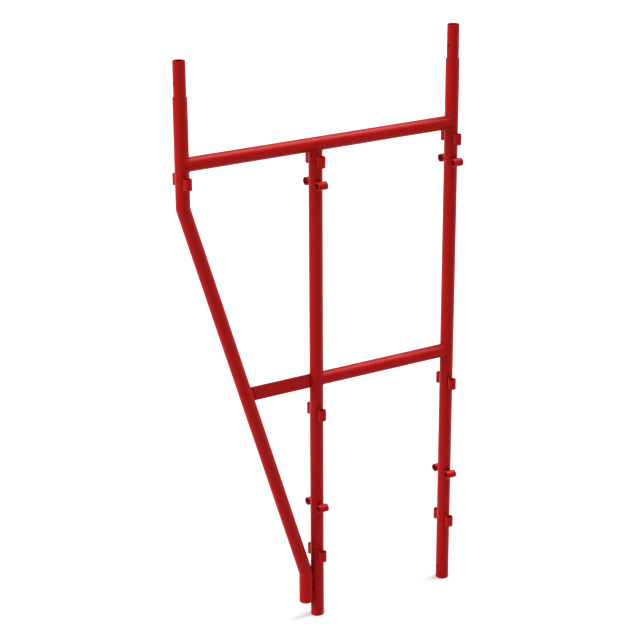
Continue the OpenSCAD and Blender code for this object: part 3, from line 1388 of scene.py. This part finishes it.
@dataclass
class Sockets:
    """The short pipes on the front and back of the standards, and the beads that hold them."""

    sizes: FrameSizes
    wall: float = 2.6 * MM
    bead: float = 1.8 * MM
    columns: int = 64
    stand: float = 1.1 * MM
    inset: float = 2.5 * MM
    opening: float = 2.0 * MM
    rows: tuple[tuple[str, tuple[str, ...]], ...] = (
        ("straight_rail", ("top", "mid", "low")),
        ("middle_rail", ("top", "mid", "low")),
        ("bent_rail", ("top",)),
        ("straight_brace", ("top", "low")),
        ("middle_brace", ("top", "low")),
    )

    def build(self, shop: Workshop) -> None:
        """Builds and dresses every socket, then all their welds as one piece.

        Args:
            shop: The finishes and the weld tree.
        """
        seams: list[Seam] = []
        for post, heights in self.rows:
            for height in heights:
                for side in ("front", "back"):
                    seams += self._socket(shop, f"{post}_socket_{height}_{side}", "brace" in post)
        shop.dress_welds("socket_weld_beads", seams)

    def _socket(self, shop: Workshop, name: str, level: bool) -> list[Seam]:
        """Builds and dresses one socket.

        Args:
            shop: The finishes and the weld tree.
            name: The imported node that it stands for.
            level: True for a socket along X, false for an upright one.

        Returns:
            The seams that hold it.
        """
        low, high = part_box(name)
        centre = (low + high) / 2
        way = math.copysign(1.0, centre.y)
        if level:
            start, tilt = Vector((low.x, centre.y, centre.z)), LEVEL
            length, outer = high.x - low.x, (high.z - low.z) / 2
            seams = [self._crossing_seam(centre, way, outer)]
        else:
            start, tilt = Vector((centre.x, centre.y, low.z)), 0.0
            length, outer = high.z - low.z, (high.x - low.x) / 2
            seams = self._valley_seams(centre, way, outer, length)
        run = StraightRun(start, tilt)
        pipe = TubeWall(f"{name}_pipe", run, length, outer, outer - self.wall, columns=self.columns)
        shop.dress(pipe.build(), Slot.SOCKET, name)
        return seams

    def _valley_seams(self, centre: Vector, way: float, outer: float, length: float) -> list[Seam]:
        """Gives the two seams between an upright socket and its standard.

        Args:
            centre: The socket's middle.
            way: 1 on the back of the frame and -1 on the front.
            outer: The socket's radius.
            length: The socket's length.

        Returns:
            The two open seams.
        """
        reach = length / 2 - self.inset
        return parallel_seams(
            (self.sizes.radius, outer),
            Vector((centre.x, 0, centre.z)),
            Vector((0, way, 0)) * abs(centre.y),
            (-reach, reach),
            self.stand,
            self.bead,
        )

    def _crossing_seam(self, centre: Vector, way: float, outer: float, count: int = 48) -> Seam:
        """Gives the seam round the place where a level socket touches its standard.

        Args:
            centre: The socket's middle.
            way: 1 on the back of the frame and -1 on the front.
            outer: The socket's radius.
            count: How many points the seam has.

        Returns:
            The closed seam.
        """
        radius = self.sizes.radius
        turns = np.linspace(0.0, 2 * math.pi, count, endpoint=False)
        x = math.sqrt(2 * radius * self.opening) * np.cos(turns)
        z = math.sqrt(2 * outer * self.opening) * np.sin(turns)
        on_tube = np.sqrt(radius**2 - x**2)
        on_pipe = abs(centre.y) - np.sqrt(outer**2 - z**2)
        points = np.stack((centre.x + x, way * (on_tube + on_pipe) / 2, centre.z + z), axis=1)
        outwards = np.stack((np.cos(turns), np.zeros(count), np.sin(turns)), axis=1)
        return Seam(points, outwards, True, self.bead)


def parallel_seams(
    radii: tuple[float, float],
    origin: Vector,
    offset: Vector,
    span: tuple[float, float],
    stand: float,
    bead: float,
    count: int = 24,
) -> list[Seam]:
    """Gives the two seams in the valleys between two upright tubes that touch.

    Args:
        radii: The radius of the tube at the origin, and of the other one.
        origin: A point on the first tube's axis.
        offset: The step from the first axis to the second, along X or along Y.
        span: The lowest and highest ends of the seams, from the origin.
        stand: How far the bead's middle stands off both tubes.
        bead: The bead's half width.
        count: How many points each seam has.

    Returns:
        The two open seams.
    """
    distance = offset.length
    towards = np.array(offset) / distance
    across = np.array((abs(towards[1]), abs(towards[0]), 0.0))
    first, second = radii[0] + stand, radii[1] + stand
    reach = (distance**2 + first**2 - second**2) / (2 * distance)
    half = math.sqrt(first**2 - reach**2)
    rise = np.outer(np.linspace(*span, count), (0.0, 0.0, 1.0))
    return [
        Seam(
            np.array(origin) + reach * towards + way * half * across + rise,
            np.tile(way * across, (count, 1)),
            False,
            bead,
        )
        for way in (1.0, -1.0)
    ]


@dataclass
class FootSeam:
    """The stitch welds that hold the bent standard's foot to the middle standard."""

    sizes: FrameSizes
    bead: float = 3.2 * MM
    stand: float = 1.8 * MM
    stitch: float = 34 * MM
    starts: tuple[float, ...] = (72 * MM, 138 * MM)

    def build(self, shop: Workshop) -> None:
        """Builds and dresses the stitches on both sides.

        Args:
            shop: The finishes and the weld tree.
        """
        s = self.sizes
        seams: list[Seam] = []
        for start in self.starts:
            seams += parallel_seams(
                (s.radius, s.radius),
                Vector((s.middle_x, 0, 0)),
                Vector((s.stub_x - s.middle_x, 0, 0)),
                (start, start + self.stitch),
                self.stand,
                self.bead,
            )
        shop.dress_welds("foot_weld_beads", seams)


# ---------------------------------------------------------------- the studio


@dataclass(frozen=True)
class SoftLight:
    """A wide, far light. Its bearing is counted in degrees to the left of the camera."""

    name: str
    bearing: float
    height: float
    spread: float
    strength: float


LIGHTS = (
    SoftLight("key_light", bearing=74.0, height=32.0, spread=40.0, strength=1.4),
    SoftLight("rim_light", bearing=-116.0, height=5.0, spread=30.0, strength=0.35),
    SoftLight("top_light", bearing=-118.0, height=61.0, spread=38.0, strength=1.6),
    SoftLight("front_light", bearing=-10.0, height=72.0, spread=40.0, strength=0.4),
)


@dataclass
class Studio:
    """The plain floor, the soft lights and the camera."""

    azimuth: float = math.radians(30.727)
    elevation: float = math.radians(20.642)
    roll: float = math.radians(-0.216)
    distance: float = 6.690
    aim: Vector = field(default_factory=lambda: Vector((-0.0096, 0.0, 1.1437)))
    lens: float = 108.70
    sensor: float = 36.0
    surround: float = 0.42
    floor_tone: float = 0.5
    floor_roughness: float = 0.9
    light_distance: float = 5.0

    def build(self) -> None:
        """Sets up the whole studio."""
        self._camera()
        self._floor()
        self._world()
        self._lights()

    def _axes(self) -> tuple[Vector, Vector, Vector]:
        """Gives the camera's directions forward, to the right and up.

        Returns:
            The three unit vectors.
        """
        a, e = self.azimuth, self.elevation
        forward = Vector((math.sin(a) * math.cos(e), math.cos(a) * math.cos(e), -math.sin(e)))
        right = Vector((math.cos(a), -math.sin(a), 0.0))
        up = right.cross(forward)
        turned_right = math.cos(self.roll) * right + math.sin(self.roll) * up
        turned_up = math.cos(self.roll) * up - math.sin(self.roll) * right
        return forward, turned_right, turned_up

    def _camera(self) -> None:
        """Places the camera."""
        forward, right, up = self._axes()
        data = bpy.data.cameras.new("camera")
        data.lens, data.sensor_width, data.clip_end = self.lens, self.sensor, 200.0
        camera = bpy.data.objects.new("camera", data)
        camera.matrix_world = Matrix.LocRotScale(
            self.aim - forward * self.distance, Matrix((right, up, -forward)).transposed(), None
        )
        bpy.context.scene.collection.objects.link(camera)
        bpy.context.scene.camera = camera

    def _floor(self, half: float = 60.0) -> None:
        """Lays the plain pale floor.

        Args:
            half: Half the floor's width.
        """
        mesh = bpy.data.meshes.new("floor")
        points = [(-half, -half, 0), (half, -half, 0), (half, half, 0), (-half, half, 0)]
        mesh.from_pydata(points, [], [(0, 1, 2, 3)])
        material = bpy.data.materials.new("pale_floor")
        material.use_nodes = True
        shader = next(n for n in material.node_tree.nodes if n.type == "BSDF_PRINCIPLED")
        tone = self.floor_tone
        shader.inputs["Base Color"].default_value = (tone, tone, tone, 1.0)
        shader.inputs["Roughness"].default_value = self.floor_roughness
        mesh.materials.append(material)
        floor = bpy.data.objects.new("floor", mesh)
        bpy.context.scene.collection.objects.link(floor)

    def _world(self) -> None:
        """Gives an even pale surround, which is plain white where the camera sees it."""
        world = bpy.data.worlds.new("surround")
        bpy.context.scene.world = world
        world.use_nodes = True
        tree = Tree(world.node_tree)
        background = next(n for n in tree.tree.nodes if n.type == "BACKGROUND")
        seen = tree.add("ShaderNodeLightPath").outputs["Is Camera Ray"]
        inputs = {0: seen, 1: 1.0 - self.surround, 2: self.surround}
        strength = tree.add("ShaderNodeMath", inputs, operation="MULTIPLY_ADD").outputs[0]
        tree.feed(background, {"Strength": strength, "Color": (1.0, 1.0, 1.0, 1.0)})
        bpy.context.scene.view_settings.view_transform = "Standard"

    def _lights(self) -> None:
        """Hangs the soft lights."""
        for soft in LIGHTS:
            data = bpy.data.lights.new(soft.name, "SUN")
            data.angle, data.energy = math.radians(soft.spread), soft.strength * math.pi
            light = bpy.data.objects.new(soft.name, data)
            turn = self.azimuth + math.radians(soft.bearing)
            lift = math.radians(soft.height)
            level = math.cos(lift)
            out = Vector((-math.sin(turn) * level, -math.cos(turn) * level, math.sin(lift)))
            light.location = self.aim + out * self.light_distance
            light.rotation_euler = out.to_track_quat("Z", "Y").to_euler()
            bpy.context.scene.collection.objects.link(light)


RED = (0.25, 0.0032, 0.0034, 1.0)
DEEP_RED = (0.22, 0.0028, 0.003, 1.0)

FINISHES = (
    PaintFinish("tube_red_paint", Slot.TUBE, RED, DEEP_RED),
    PaintFinish("spigot_red_paint", Slot.SPIGOT, RED, DEEP_RED, rub=0.07, wear=0.24),
    PaintFinish("bar_red_paint", Slot.BAR, RED, DEEP_RED, tone_spread=0.25),
    PaintFinish("socket_red_paint", Slot.SOCKET, RED, DEEP_RED, wear=0.22),
)


def main() -> None:
    """Builds the studio and every sub-assembly."""
    logging.basicConfig(level=logging.INFO, format="%(name)s: %(message)s")
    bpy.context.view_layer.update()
    Studio().build()
    groups = {
        "paint_skin": paint_skin_group(),
        "edge_wear": edge_wear_group(),
        "settled_dust": settled_dust_group(),
    }
    finishes = {finish.slot: finish.material(groups) for finish in FINISHES}
    shop = Workshop(finishes, WeldTree())
    sizes = FrameSizes()
    for part in (Standards, Spigots, CrossMembers, Sockets, FootSeam):
        part(sizes).build(shop)


if __name__ == "__main__":
    main()
